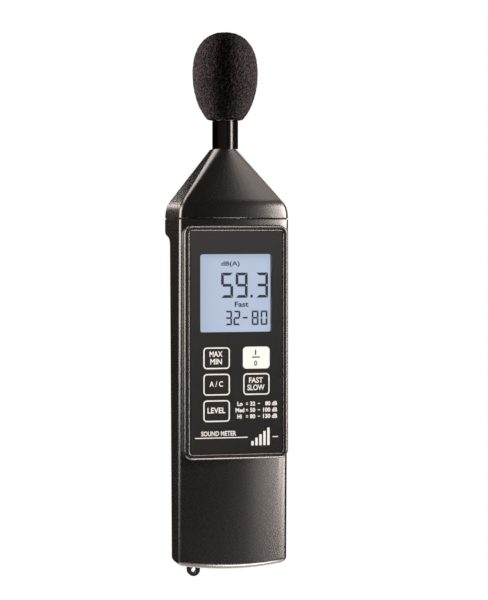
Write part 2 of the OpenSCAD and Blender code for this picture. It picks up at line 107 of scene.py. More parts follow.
def newMaterial(name):
    material = bpy.data.materials.new(name)
    material.use_nodes = True
    tree = material.node_tree
    return material, tree, tree.nodes["Principled BSDF"]


def grainNoise(tree, mm, detail=2.0, rough=0.5):
    # noise over a piece's own coordinates, with features of a size in millimetres
    place = addNode(tree, "ShaderNodeTexCoord")
    return addNode(tree, "ShaderNodeTexNoise", {"Scale": 1000 / mm, "Detail": detail, "Roughness": rough},
                   {"Vector": place.outputs["Object"]}).outputs["Fac"]


def tint(tree, dark, light, factor):
    # a colour between two, by a factor from 0 to 1
    return addNode(tree, "ShaderNodeMix", {"data_type": "RGBA", 6: linear(dark), 7: linear(light)},
                   {0: factor}).outputs[2]


blotchMm = 18.0


def surface(name, dark, light, rough, grain, bump=0.0, metallic=0.0, stretch=(1, 1, 1)):
    # colour, roughness and relief from two noises: grain in mm, and a broad blotch
    material, tree, shader = newMaterial(name)
    place = addNode(tree, "ShaderNodeTexCoord")
    turned = addNode(tree, "ShaderNodeMapping", {"Scale": stretch}, {"Vector": place.outputs["Object"]})
    fine = addNode(tree, "ShaderNodeTexNoise", {"Scale": 1000 / grain, "Detail": 3.0, "Roughness": 0.6},
                   {"Vector": turned.outputs["Vector"]})
    both = addNode(tree, "ShaderNodeMath", {"operation": "MULTIPLY"},
                   {0: fine.outputs["Fac"], 1: grainNoise(tree, blotchMm)})
    spread = addNode(tree, "ShaderNodeMapRange", {"From Min": 0.12, "From Max": 0.42},
                     {"Value": both.outputs["Value"]})
    tree.links.new(tint(tree, dark, light, spread.outputs["Result"]), shader.inputs["Base Color"])
    gloss = addNode(tree, "ShaderNodeMapRange",
                    {"From Min": 0.3, "From Max": 0.7, "To Min": rough[0], "To Max": rough[1]},
                    {"Value": fine.outputs["Fac"]})
    tree.links.new(gloss.outputs["Result"], shader.inputs["Roughness"])
    if bump:
        relief = addNode(tree, "ShaderNodeBump", {"Strength": 1.0, "Distance": bump / 1000},
                         {"Height": fine.outputs["Fac"]})
        tree.links.new(relief.outputs["Normal"], shader.inputs["Normal"])
    shader.inputs["Metallic"].default_value = metallic
    if not metallic:
        shader.inputs["IOR"].default_value = 1.5
    return material


def foamMaterial():
    # open-cell polyurethane foam, pores about 0.7 mm apart: the pale struts are a painted highlight and the dark
    # pores painted shade
    material, tree, shader = newMaterial("openCellFoam")
    place = addNode(tree, "ShaderNodeTexCoord")
    pores = addNode(tree, "ShaderNodeTexVoronoi", {"Scale": 1000 / 0.7, "Randomness": 1.0},
                    {"Vector": place.outputs["Object"]})
    strut = addNode(tree, "ShaderNodeMapRange", {"From Min": 0.2, "From Max": 0.75},
                    {"Value": pores.outputs["Distance"]})
    mixed = addNode(tree, "ShaderNodeMath", {"operation": "MULTIPLY", "use_clamp": True},
                    {0: strut.outputs["Result"], 1: grainNoise(tree, 0.6, 4.0, 0.75)})
    # pale where the struts would catch light and dark in the pores: painted highlight and painted shade
    strutHighlightPoreShade = addNode(tree, "ShaderNodeMapRange", {"From Min": 0.1, "From Max": 0.5},
                     {"Value": mixed.outputs["Value"]})
    tree.links.new(tint(tree, "#0F0D0C", "#7D6F6D", strutHighlightPoreShade.outputs["Result"]), shader.inputs["Base Color"])
    relief = addNode(tree, "ShaderNodeBump", {"Strength": 0.9, "Distance": 0.0004},
                     {"Height": mixed.outputs["Value"]})
    tree.links.new(relief.outputs["Normal"], shader.inputs["Normal"])
    shader.inputs["Roughness"].default_value = 0.95
    shader.inputs["Specular IOR Level"].default_value = 0.15
    return material


def lensMaterial():
    # clear cast acrylic: nearly all light passes, with a thin surface reflection
    material, tree, shader = newMaterial("clearAcrylic")
    gloss = addNode(tree, "ShaderNodeMapRange", {"To Min": 0.03, "To Max": 0.08}, {"Value": grainNoise(tree, 9.0)})
    tree.links.new(gloss.outputs["Result"], shader.inputs["Roughness"])
    shader.inputs["Base Color"].default_value = linear("#20262E")
    shader.inputs["IOR"].default_value = 1.49
    shader.inputs["Alpha"].default_value = 0.06
    return material


def displayMaterial():
    # twisted-nematic display over a satin reflector: pale blue-grey, a little uneven. Its glow is painted light:
    # the display has no backlight, yet it emits its own colour in place of the lamplight it would reflect, and its
    # base colour is dimmed so that the lamps add little
    material, tree, shader = newMaterial("displayReflector")
    colour = tint(tree, "#B4C3DB", "#BAC8DF", grainNoise(tree, 14.0))
    dim = addNode(tree, "ShaderNodeMix", {"data_type": "RGBA", 0: 0.88, 7: (0, 0, 0, 1)}, {6: colour})
    tree.links.new(dim.outputs[2], shader.inputs["Base Color"])
    # painted glow, in place of the lamplight the reflector would give back
    tree.links.new(colour, shader.inputs["Emission Color"])
    shader.inputs["Emission Strength"].default_value = 0.95
    shader.inputs["Roughness"].default_value = 0.4
    return material


materials = {
    # ABS from a spark-eroded mould: near black, satin, with a fine even grain
    "case": surface("sparkErodedAbs", "#040303", "#070605", (0.258, 0.282), 0.6, 0.002),
    # ABS from a polished mould: black and glossy
    "neck": surface("polishedAbs", "#0A0A09", "#11100F", (0.14, 0.2), 0.8, 0.002),
    # matt hard-coated polyester film: dark warm grey, almost flat
    "overlay": surface("mattPolyesterFilm", "#0A0908", "#0F0D0B", (0.38, 0.43), 0.3, 0.003),
    # inks screen-printed on film, and the white film of the power key: flat, bright or dark, hardly glossy
    "whiteInk": surface("screenPrintedWhite", "#DDDAD6", "#E8E6E3", (0.45, 0.6), 0.3, 0.002),
    "keyWhite": surface("whitePolyesterFilm", "#E4E2DE", "#EFEDEA", (0.4, 0.5), 0.3, 0.003),
    "darkInk": surface("screenPrintedBlack", "#191817", "#242220", (0.45, 0.6), 0.3, 0.002),
    # liquid crystal segments, slate grey and slightly soft
    "segment": surface("liquidCrystal", "#182029", "#222B36", (0.4, 0.5), 1.2, 0.0),
    # moulded polystyrene: dull mid grey
    "frame": surface("mouldedPolystyrene", "#5A5754", "#66625F", (0.45, 0.6), 0.4, 0.006),
    # turned brass, zinc-plated steel and black-anodised aluminium: metals, from bright yellow to dark grey
    "brass": surface("turnedBrass", "#A98443", "#C9A761", (0.2, 0.34), 0.5, 0.003, metallic=1.0),
    "steel": surface("zincPlatedSteel", "#8E9092", "#B5B7B8", (0.25, 0.4), 0.4, 0.003, metallic=1.0),
    "blackened": surface("anodisedAluminium", "#222224", "#303033", (0.35, 0.45), 0.3, 0.002, metallic=1.0),
    # moulded rubber: black and dull
    "rubber": surface("mouldedRubber", "#151516", "#1D1D1F", (0.6, 0.75), 0.5, 0.006),
    # solder mask over glass fibre: glossy green, and the packages on it: matt epoxy, shiny blue sleeve
    "board": surface("solderMask", "#155030", "#1E6B40", (0.2, 0.35), 1.4, 0.004),
    "chips": surface("mouldedEpoxy", "#131314", "#1C1C1E", (0.5, 0.65), 0.3, 0.004),
    "capacitor": surface("shrinkSleeve", "#1F3F8A", "#2E55A6", (0.25, 0.35), 0.6, 0.002),
    "trimmer": surface("mouldedThermoset", "#1F4E9A", "#2C60B0", (0.35, 0.5), 0.4, 0.004),
    # moulded nylon, polyimide and adhesive film: cream, amber and dull straw
    "connector": surface("mouldedNylon", "#D6D0C0", "#E6E1D3", (0.35, 0.5), 0.4, 0.004),
    "flex": surface("polyimideFilm", "#A8792A", "#C9983E", (0.25, 0.35), 0.5, 0.002),
    "film": surface("adhesiveFilm", "#B5AF9E", "#C8C3B3", (0.5, 0.6), 0.4, 0.002),
    # lacquered steel jacket: dark slate with a soft shine
    "battery": surface("lacqueredJacket", "#2A3440", "#3A4654", (0.25, 0.35), 0.6, 0.002),
    # extruded PVC insulation: plain colours with a soft shine
    "redWire": surface("redPvc", "#9C1D18", "#B92A22", (0.35, 0.45), 0.5, 0.002),
    "blackWire": surface("blackPvc", "#121213", "#1C1C1E", (0.35, 0.45), 0.5, 0.002),
    "greyWire": surface("greyPvc", "#56585B", "#66686C", (0.35, 0.45), 0.5, 0.002),
    # closed-cell foam: dark grey, no shine, pitted
    "pad": surface("closedCellFoam", "#2A2A2C", "#3D3D40", (0.85, 0.95), 0.5, 0.02),
    # satin polyester label: light grey
    "label": surface("satinLabel", "#B9BABB", "#C9CACB", (0.35, 0.45), 0.4, 0.002),
    # layered silicone: pink, with stripes drawn out along the strip
    "zebra": surface("siliconeElastomer", "#C27A8B", "#D594A3", (0.5, 0.6), 0.4, 0.003, stretch=(1, 6, 6)),
    "foam": foamMaterial(),
    "lens": lensMaterial(),
    "display": displayMaterial(),
}
print("materials made:", len(materials))


def linkMesh(bm, name):
    # from millimetres at the neck axis to metres in the frame
    bmesh.ops.scale(bm, vec=(0.001, 0.001, 0.001), verts=bm.verts)
    bmesh.ops.translate(bm, vec=(0, axisY, seamZ), verts=bm.verts)
    mesh = bpy.data.meshes.new(name)
    bm.to_mesh(mesh)
    bm.free()
    piece = bpy.data.objects.new(name, mesh)
    bpy.context.scene.collection.objects.link(piece)
    return piece


def toMillimetres(bm):
    # the way back: from metres in the frame to millimetres at the neck axis
    bmesh.ops.translate(bm, vec=(0, -axisY, -seamZ), verts=bm.verts)
    bmesh.ops.scale(bm, vec=(1000, 1000, 1000), verts=bm.verts)


def applied(piece):
    # the piece's mesh with its modifiers applied
    made = bpy.data.meshes.new_from_object(piece.evaluated_get(bpy.context.evaluated_depsgraph_get()))
    piece.modifiers.clear()
    return made


def finishPiece(piece, body, material, replaced=(), sharp=35.0, even=True):
    mesh = piece.data
    mesh.shade_smooth()
    mesh.set_sharp_from_angle(angle=math.radians(sharp))
    if even:  # broad faces keep their own direction beside narrow roundings
        level = piece.modifiers.new("even", "WEIGHTED_NORMAL")
        level.mode = "FACE_AREA"
        level.weight = 80
        level.keep_sharp = True
        mesh = piece.data = applied(piece)
    mesh.materials.clear()
    mesh.materials.append(materials[material])
    mesh.polygons.foreach_set("material_index", [0] * len(mesh.polygons))
    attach(piece, body)
    if replaced:
        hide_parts(*replaced)
    return piece


def makePiece(bm, name, body, material, replaced=(), sharp=35.0, even=True):
    bmesh.ops.remove_doubles(bm, verts=bm.verts, dist=0.0005)
    bmesh.ops.recalc_face_normals(bm, faces=bm.faces)
    return finishPiece(linkMesh(bm, name), body, material, replaced, sharp, even)


def combine(base, other, operation):
    # applies a Boolean of two closed pieces and drops the second
    cut = base.modifiers.new("cut", "BOOLEAN")
    cut.operation = operation
    cut.solver = "EXACT"
    cut.object = other
    base.data = applied(base)
    bpy.data.objects.remove(other)


def softenEdges(piece, width, angle=40.0, segments=2):
    # applies a narrow bevel to every sharp edge, so that it catches light
    soft = piece.modifiers.new("soft", "BEVEL")
    soft.width = width / 1000
    soft.segments = segments
    soft.limit_method = "ANGLE"
    soft.angle_limit = math.radians(angle)
    soft.use_clamp_overlap = True
    piece.data = applied(piece)


def ring(bm, z, half, front, back, frontRadius, backRadius, crown):
    # a level outline: rounded corners, and a front that bulges to the radius crown. Returns its edges
    side = front - half * half / (2 * crown)
    flat = bmesh.new()
    corners = [flat.verts.new((x, y, z)) for x, y in ((-half, -side), (half, -side), (half, back), (-half, back))]
    flat.faces.new(corners)
    edge = flat.edges.get((corners[0], corners[1]))
    bmesh.ops.subdivide_edges(flat, edges=[edge], cuts=11)
    for vert in flat.verts:
        if vert.co.y < back - 0.01:
            if abs(vert.co.x) < half - 1e-4:  # room for the rounded corners
                vert.co.x *= min(1.0, 1.2 * (1 - 1.1 * frontRadius / half))
            vert.co.y = -front + vert.co.x ** 2 / (2 * crown)
    for atBack, radius, count in ((False, frontRadius, 5), (True, backRadius, 7)):
        pair = [v for v in flat.verts if abs(abs(v.co.x) - half) < 1e-4 and (v.co.y > back - 0.01) == atBack]
        bmesh.ops.bevel(flat, geom=pair, offset=radius, offset_type="OFFSET", segments=count, profile=0.5,
                        affect="VERTICES", material=-1, clamp_overlap=True)
    mesh = bpy.data.meshes.new("level")
    flat.to_mesh(mesh)
    flat.free()
    before = len(bm.edges)
    bm.from_mesh(mesh)
    bpy.data.meshes.remove(mesh)
    bm.edges.ensure_lookup_table()
    edges = bm.edges[before:]
    bmesh.ops.delete(bm, geom=list(edges[0].link_faces), context="FACES_ONLY")
    return edges


def loft(levels):
    # a closed solid through level outlines, lowest or highest first
    bm = bmesh.new()
    rings = [ring(bm, **level) for level in levels]
    for low, high in zip(rings, rings[1:]):
        bmesh.ops.bridge_loops(bm, edges=low + high)
    for end in (rings[0], rings[-1]):
        bmesh.ops.edgeloop_fill(bm, edges=end)
    bmesh.ops.recalc_face_normals(bm, faces=bm.faces)
    return bm


def lathe(profile, steps=96):
    # spins a closed outline of (radius, height) points round the neck axis
    bm = bmesh.new()
    verts = [bm.verts.new((r, 0, z)) for r, z in profile]
    edges = [bm.edges.new((a, b)) for a, b in zip(verts, verts[1:])]
    bmesh.ops.spin(bm, geom=verts + edges, cent=(0, 0, 0), axis=(0, 0, 1), angle=2 * math.pi, steps=steps,
                   use_merge=True)
    bmesh.ops.remove_doubles(bm, verts=bm.verts, dist=0.0005)
    bmesh.ops.recalc_face_normals(bm, faces=bm.faces)
    return bm


def slab(width, height, radius, face, depth, x=0.0, z=0.0, corners=6, edge=0.0, edgeSteps=3):
    # a rounded plate in the XZ plane. Its face is at y = -face, and "edge" rounds the rim of that face
    bm = bmesh.new()
    bmesh.ops.create_cube(bm, size=1.0)
    bmesh.ops.scale(bm, vec=(width, depth, height), verts=bm.verts)
    bmesh.ops.translate(bm, vec=(x, -face + depth / 2, z), verts=bm.verts)
    if radius:
        along = [e for e in bm.edges if abs(e.verts[0].co.y - e.verts[1].co.y) > depth * 0.5]
        bmesh.ops.bevel(bm, geom=along, offset=radius, offset_type="OFFSET", segments=corners, profile=0.5,
                        affect="EDGES", material=-1)
    if edge:
        rim = [e for e in bm.edges if all(abs(v.co.y + face) < 1e-4 for v in e.verts)]
        bmesh.ops.bevel(bm, geom=rim, offset=edge, offset_type="OFFSET", segments=edgeSteps, profile=0.5,
                        affect="EDGES", material=-1)
    return bm


def block(low, high):
    bm = bmesh.new()
    bmesh.ops.create_cube(bm, size=1.0)
    size = Vector(high) - Vector(low)
    bmesh.ops.scale(bm, vec=size, verts=bm.verts)
    bmesh.ops.translate(bm, vec=Vector(low) + size / 2, verts=bm.verts)
    return bm


def rod(x, z, radius, y0, y1, steps=64):
    # a cylinder along Y
    bm = bmesh.new()
    turn = Matrix.Translation((x, (y0 + y1) / 2, z)) @ Matrix.Rotation(math.pi / 2, 4, "X")
    bmesh.ops.create_cone(bm, cap_ends=True, segments=steps, radius1=radius, radius2=radius, depth=y1 - y0,
                          matrix=turn)
    return bm


def solid(bm, name="tool"):
    bmesh.ops.recalc_face_normals(bm, faces=bm.faces)
    return linkMesh(bm, name)


# where the eye is, in degrees and metres from the point it looks at; that point is set off from the seam
camera = {
    "azimuth": -13.7, "elevation": 2.1, "distance": 1.042, "lens": 126.0, "aimRight": 0.00935, "aimUp": -0.04034,
}


def addCamera():
    a, e = math.radians(camera["azimuth"]), math.radians(camera["elevation"])
    ahead = Vector((-math.sin(a) * math.cos(e), math.cos(a) * math.cos(e), -math.sin(e)))
    right = Vector((math.cos(a), math.sin(a), 0))
    up = right.cross(ahead)
    aim = Vector((0, axisY, seamZ)) + right * camera["aimRight"] + up * camera["aimUp"]
    data = bpy.data.cameras.new("camera")
    data.lens = camera["lens"]
    data.sensor_width = 36.0
    data.clip_start = 0.01
    data.clip_end = 50.0
    eye = bpy.data.objects.new("camera", data)
    eye.location = aim - ahead * camera["distance"]
    eye.rotation_euler = ahead.to_track_quat("-Z", "Y").to_euler()
    bpy.context.scene.collection.objects.link(eye)
    bpy.context.scene.camera = eye


addCamera()

case = {
    "half": 27.5, "frontTop": 23.0, "frontFoot": 19.8, "shoulder": 17.9, "backTop": 5.9, "backFoot": 2.4,
    "length": 171.7, "shoulderFoot": 11.5, "crown": 105.0, "frontRadius": 1.7, "backRadius": 4.0,
    "wall": 1.8, "split": 4.0, "footArc": 1.9, "bowHeight": 12.0,
}
# how far the back stands behind the neck axis, down the shoulder: (height, depth)
shoulderCurve = [(-6.4, 17.9), (-7.2, 17.3), (-7.9, 15.9), (-8.5, 13.6), (-9.0, 11.0), (-9.6, 8.8), (-10.4, 7.3),
                 (-11.4, 6.4), (-12.8, 5.95)]
# rounding of the foot: (height above the corner of the foot, inset)
footCurve = [(2.6, 0.0), (1.8, 0.14), (1.1, 0.48), (0.55, 1.0), (0.15, 1.8), (0.0, 2.7)]


def frontAt(z):
    return case["frontTop"] + (case["frontFoot"] - case["frontTop"]) * -z / case["length"]


def backAt(z):
    run = (-z - case["shoulderFoot"]) / (case["length"] - case["shoulderFoot"])
    return case["backTop"] + (case["backFoot"] - case["backTop"]) * run


def caseLevel(z, back, inset, shrink=0.0):
    total = inset + shrink
    return {
        "z": z, "half": case["half"] - total, "front": frontAt(z) - total, "back": back - total,
        "frontRadius": max(0.6, case["frontRadius"] - shrink * 0.5),
        "backRadius": case["backRadius"] - shrink * 0.8, "crown": case["crown"],
    }


def caseSolid(shrink=0.0):
    top = -shrink
    levels = [caseLevel(top, case["shoulder"], 0.5, shrink), caseLevel(top - 0.5, case["shoulder"], 0.0, shrink)]
    levels += [caseLevel(z + (shrink if z > -9 else 0), back, 0.0, shrink) for z, back in shoulderCurve]
    corner = -case["length"] + case["footArc"] + shrink
    levels += [caseLevel(corner + up, backAt(corner + up), inset, shrink) for up, inset in footCurve]
    bm = loft(levels)
    above = corner + case["bowHeight"]
    for vert in bm.verts:  # the foot bows down in the middle
        if vert.co.z < above:
            share = min(1.0, (above - vert.co.z) / case["bowHeight"])
            vert.co.z -= case["footArc"] * (1 - (vert.co.x / case["half"]) ** 2) * share
    return bm


def headLevel(z, inset):
    return {
        "z": z, "half": case["half"] - inset, "front": case["frontTop"] - inset * 0.75,
        "back": case["shoulder"] - inset * 0.9, "frontRadius": case["frontRadius"] + inset * 0.1,
        "backRadius": case["backRadius"], "crown": case["crown"],
    }


# the head's lower edge: (height, inset)
headCurve = [(0.0, 0.5), (0.5, 0.0), (3.4, 0.25), (5.4, 0.65), (7.0, 1.2), (8.4, 1.95), (9.8, 2.9)]


headSize = {
    "tip": 6.9, "frontRadius": 5.2, "backRadius": 4.3, "crown": 60.0, "flange": 1.6, "bossFoot": 9.0,
    "bossTop": 6.6, "bossEnd": 33.8, "bore": 6.4, "lugAt": 20.8, "lugHalf": 3.0, "lugFront": -6.4,
    "lugBack": -4.0, "lugTop": 3.0,
}


def headSolid(shrink=0.0):
    top = cad("head_shell")[1].z
    levels = [headLevel(z - (shrink if z < 3 else 0), inset + shrink) for z, inset in headCurve]
    tip = headSize["tip"] - shrink * 0.5
    end = {"z": top - shrink * 1.5, "half": tip, "front": tip, "back": tip}
    levels.append(end | {key: headSize[key] for key in ("frontRadius", "backRadius", "crown")})
    return loft(levels)


def makeHead():
    head = solid(headSolid(), "headShell")
    combine(head, solid(headSolid(case["wall"])), "DIFFERENCE")
    collar = neckBox[1][0] * 1000
    flange = cad("neck_tube")[0].z + headSize["flange"]
    bore, end = headSize["bore"], headSize["bossEnd"]
    boss = lathe([(0.0, flange), (headSize["bossFoot"], flange), (headSize["bossTop"], end), (0.0, end)], 64)
    combine(head, solid(boss), "UNION")
    hole = lathe([(0.0, -5.0), (collar, -5.0), (collar, flange), (bore, flange), (bore, 40.0), (0.0, 40.0)], 96)
    combine(head, solid(hole), "DIFFERENCE")
    foot = cad("head_shell")[0].z
    for side in (-1, 1):  # lugs held under the upper case screws
        middle, half = side * headSize["lugAt"], headSize["lugHalf"]
        low = (middle - half, headSize["lugFront"], foot)
        high = (middle + half, headSize["lugBack"], headSize["lugTop"])
        combine(head, solid(block(low, high)), "UNION")
    softenEdges(head, 0.16)
    return finishPiece(head, root, "case", ("head_shell",))


makeHead()

foil = cad("keypad_overlay")
window = cad("display_window")
# depths in front of the neck axis: face, root, floor
rim = {
    "face": 24.8, "width": 52.0, "grow": 3.6, "lower": 0.5, "radius": 4.2, "edge": 1.15, "lip": 2.75,
    "lipEdge": 0.6, "root": 16.6, "floor": 22.6, "innerRadius": 2.4, "pocketDepth": 12.0, "hollowDepth": 9.0,
}
windowSize = {"width": 35.9, "height": 37.9, "radius": 1.2, "face": 26.0, "depth": 9.0}
panelZ = (foil[0].z + foil[1].z) / 2
windowZ = (window[0].z + window[1].z) / 2


def panelBlock():
    # the raised panel: a rounded block with a lip round the recess for the overlay
    height = foil[1].z - foil[0].z + rim["grow"] + rim["lower"]
    bm = slab(rim["width"], height, rim["radius"], rim["face"], rim["face"] - rim["root"],
              z=panelZ - rim["lower"] / 2, corners=10)
    face = max(bm.faces, key=lambda f: -f.calc_center_median().y)
    bmesh.ops.inset_region(bm, faces=[face], thickness=rim["lip"], depth=0.0)
    face = next(f for f in bm.faces if abs(f.calc_center_median().y + rim["face"]) < 1e-3
                and abs(f.calc_center_median().x) < 1 and len(f.verts) > 20)
    inner = list(face.edges)
    moved = bmesh.ops.extrude_face_region(bm, geom=[face])["geom"]
    bmesh.ops.delete(bm, geom=[face], context="FACES_ONLY")
    sunk = [v for v in moved if isinstance(v, bmesh.types.BMVert)]
    bmesh.ops.translate(bm, vec=(0, rim["face"] - rim["floor"], 0), verts=sunk)
    lip = [e for e in inner if e.is_valid]
    outer = [e for e in bm.edges if all(abs(v.co.y + rim["face"]) < 1e-3 for v in e.verts) and e not in lip
             and len(e.link_faces) == 2 and e.calc_face_angle(0) > 1.0]
    bmesh.ops.bevel(bm, geom=outer, offset=rim["edge"], offset_type="OFFSET", segments=5, profile=0.5,
                    affect="EDGES", material=-1)
    lip = [e for e in lip if e.is_valid and e.calc_face_angle(0) > 1.0]
    bmesh.ops.bevel(bm, geom=lip, offset=rim["lipEdge"], offset_type="OFFSET", segments=3, profile=0.5,
                    affect="EDGES", material=-1)
    return bm


# the gap in the top wall that the head's lugs and the microphone lead pass through
topOpening = {"half": 24.2, "front": 12.0}


coverSize = {
    "half": 18.4, "foot": -190.0, "head": -118.0, "out": 10.0, "gap": 0.2,
    # half width, depth inside the wall at the front and at the back, foot and head
    "tongue": (19.8, 1.3, 0.2, -156.0, -108.7),
    "core": (18.4, 0.3, -0.1, -156.0, -108.7),
    "hollow": (16.0, 4.0, 0.0, -160.0, -110.7),
    "grips": 6, "gripPitch": 2.4, "gripHalf": 9.0, "gripDepth": 0.5, "gripFoot": -113.5, "gripHead": -112.3,
}
rear = {
    "bossRadius": 7.0, "bossOver": 0.4, "mouthRadius": 4.5, "screwAt": 20.8, "screwRows": (-6.0, -113.0),
    "postRadius": 4.0, "postEnds": (17.0, 3.0), "headRadius": 2.6, "seat": 0.4, "shankRadius": 1.5,
}
eyelet = {
    "x": -16.9, "z": -173.9, "radius": 1.25, "tabRadius": 3.15, "front": -3.8, "back": -1.4, "thick": 2.4,
    "neck": 5.4, "neckY": -2.6, "neckZ": -171.2,
}
trimmerHole = {"x": 26.0, "radius": 2.0, "depth": 12.0}


def halfSpace(front):
    split = -case["split"]
    return block((-60, -60, -240), (60, split, 60)) if front else block((-60, split, -240), (60, 60, 60))


def coverSpace(gap):
    # the gap in the sloping back that the battery cover fills
    slope = math.atan((case["backTop"] - case["backFoot"]) / (case["length"] - case["shoulderFoot"]))
    half, top = coverSize["half"] + gap, coverSize["head"] + case["shoulderFoot"] + gap
    bm = block((-half, -case["wall"] - gap, coverSize["foot"]), (half, coverSize["out"], top))
    turn = Matrix.Translation((0, case["backTop"], -case["shoulderFoot"])) @ Matrix.Rotation(-slope, 4, "X")
    bmesh.ops.transform(bm, matrix=turn, verts=bm.verts)
    return bm, turn


def makeFront():
    shell = solid(caseSolid(), "frontShell")
    combine(shell, solid(halfSpace(True)), "INTERSECT")
    combine(shell, solid(caseSolid(case["wall"])), "DIFFERENCE")
    height = foil[1].z - foil[0].z + rim["grow"]
    inside = 2 * case["wall"]
    inner = (rim["width"] - inside, height - inside, rim["innerRadius"])
    combine(shell, solid(slab(*inner, rim["face"], rim["pocketDepth"], z=panelZ)), "DIFFERENCE")
    panel = solid(panelBlock())
    combine(panel, solid(slab(*inner, rim["floor"] - case["wall"], rim["hollowDepth"], z=panelZ)), "DIFFERENCE")
    combine(panel, solid(slab(**windowSize, z=windowZ)), "DIFFERENCE")
    combine(shell, panel, "UNION")
    combine(shell, solid(sideHole()), "DIFFERENCE")
    opening = block((-topOpening["half"], -topOpening["front"], -case["wall"] - 1), (topOpening["half"], 60, 1))
    combine(shell, solid(opening), "DIFFERENCE")
    softenEdges(shell, 0.14, 50)
    return finishPiece(shell, root, "case", ("front_shell",))


def sideHole():
    # the hole that the calibration screw is reached through
    low, high = cad("trimmer_screw")
    middle = (low + high) / 2
    bm = bmesh.new()
    turn = Matrix.Translation((trimmerHole["x"], middle.y, middle.z)) @ Matrix.Rotation(math.pi / 2, 4, "Y")
    radius = trimmerHole["radius"]
    bmesh.ops.create_cone(bm, cap_ends=True, segments=48, radius1=radius, radius2=radius,
                          depth=trimmerHole["depth"], matrix=turn)
    return bm


def makeRear():
    shell = solid(caseSolid(), "rearShell")
    combine(shell, solid(halfSpace(False)), "INTERSECT")
    combine(shell, solid(caseSolid(case["wall"])), "DIFFERENCE")
    mouth = cad("tripod_insert")
    across = (mouth[0].z + mouth[1].z) / 2
    combine(shell, solid(rod(0, across, rear["bossRadius"], mouth[0].y - rear["bossOver"], mouth[1].y)), "UNION")
    combine(shell, solid(coverSpace(coverSize["gap"])[0]), "DIFFERENCE")
    combine(shell, solid(rod(0, across, rear["mouthRadius"], mouth[0].y, mouth[1].y + 2)), "DIFFERENCE")
    for x in (-rear["screwAt"], rear["screwAt"]):
        for z, end in zip(rear["screwRows"], rear["postEnds"]):
            combine(shell, solid(rod(x, z, rear["postRadius"], -case["split"], end)), "UNION")
            combine(shell, solid(rod(x, z, rear["headRadius"], rear["seat"], 30)), "DIFFERENCE")
            combine(shell, solid(rod(x, z, rear["shankRadius"], -8, 2)), "DIFFERENCE")
    combine(shell, solid(eyeletTab()), "UNION")
    combine(shell, solid(rod(eyelet["x"], eyelet["z"], eyelet["radius"], -8, 4)), "DIFFERENCE")
    softenEdges(shell, 0.14, 50)
    return finishPiece(shell, root, "case", ("rear_shell",))


def eyeletTab():
    # the tab that the lanyard eyelet goes through: a round end on a short neck
    box = bmesh.new()
    bmesh.ops.create_cube(box, size=1.0)
    bmesh.ops.scale(box, vec=(2 * eyelet["tabRadius"], eyelet["thick"], eyelet["neck"]), verts=box.verts)
    bmesh.ops.translate(box, vec=(eyelet["x"], eyelet["neckY"], eyelet["neckZ"]), verts=box.verts)
    tab = solid(rod(eyelet["x"], eyelet["z"], eyelet["tabRadius"], eyelet["front"], eyelet["back"]))
    combine(tab, solid(box), "UNION")
    made = bmesh.new()
    made.from_mesh(tab.data)
    bpy.data.objects.remove(tab)
    toMillimetres(made)
    return made


def makeCover():
    cover = solid(caseSolid(), "batteryCover")
    space, turn = coverSpace(0.0)
    combine(cover, solid(space), "INTERSECT")
    wall = case["wall"]
    parts = []
    for name, operation in (("tongue", "UNION"), ("core", "UNION"), ("hollow", "DIFFERENCE")):
        half, front, back, foot, head = coverSize[name]
        parts.append((block((-half, -wall - front, foot), (half, -wall - back, head)), operation))
    half, deep = coverSize["gripHalf"], coverSize["gripDepth"]
    for i in range(coverSize["grips"]):  # thumb grip
        drop = coverSize["gripPitch"] * i
        notch = block((-half, -deep, coverSize["gripFoot"] - drop), (half, 2, coverSize["gripHead"] - drop))
        parts.append((notch, "DIFFERENCE"))
    for bm, operation in parts:
        bmesh.ops.transform(bm, matrix=turn, verts=bm.verts)
        combine(cover, solid(bm), operation)
    softenEdges(cover, 0.14, 50)
    return finishPiece(cover, "battery_cover", "case", ("battery_cover",))


makeFront()
makeRear()
makeCover()
print("case made")


# the groove is (height, depth) where the tube is made in two lengths
neck = {
    "outer": 6.4, "inner": 5.3, "flange": 1.6, "edge": 0.4,
    "groove": ((47.9, 0.0), (48.1, 0.15), (48.4, 0.15), (48.6, 0.0)),
}


def makeNeck():
    low, high = cad("neck_tube")
    outer, inner, edge, flange = neck["outer"], neck["inner"], neck["edge"], (high.x - low.x) / 2
    shelf = low.z + neck["flange"]
    outline = [(inner, low.z), (flange, low.z), (flange, shelf), (outer, shelf)]
    outline += [(outer - deep, z) for z, deep in neck["groove"]]
    outline += [(outer, high.z - edge), (outer - edge, high.z), (inner, high.z), (inner, low.z)]
    return makePiece(lathe(outline), "neckTube", root, "neck", ("neck_tube",))


# the dents are 1.1 mm apart, coarser than the real pores of 0.7, so that they show in the outline
foam = {
    "belly": 71.5, "tail": 26.9, "power": 2.3, "roll": 0.9, "bore": 6.5, "boreTop": 78.0, "boreEdge": (0.5, 0.6),
    "rings": 96, "steps": 200, "bunch": 1.15, "flare": 1.6, "poreMm": 1.1, "poreReach": 0.55, "poreDepth": 0.55,
    "strutReach": 0.2, "strutHeight": 0.5, "sunk": 0.12,
}


def foamRadius(z, high, half):
    if z > foam["belly"]:
        share = (z - foam["belly"]) / (high - foam["belly"])
        return half * max(0.0, 1 - share ** foam["power"]) ** (1 / foam["power"])
    return half * math.sqrt(1 - ((foam["belly"] - z) / foam["tail"]) ** 2)


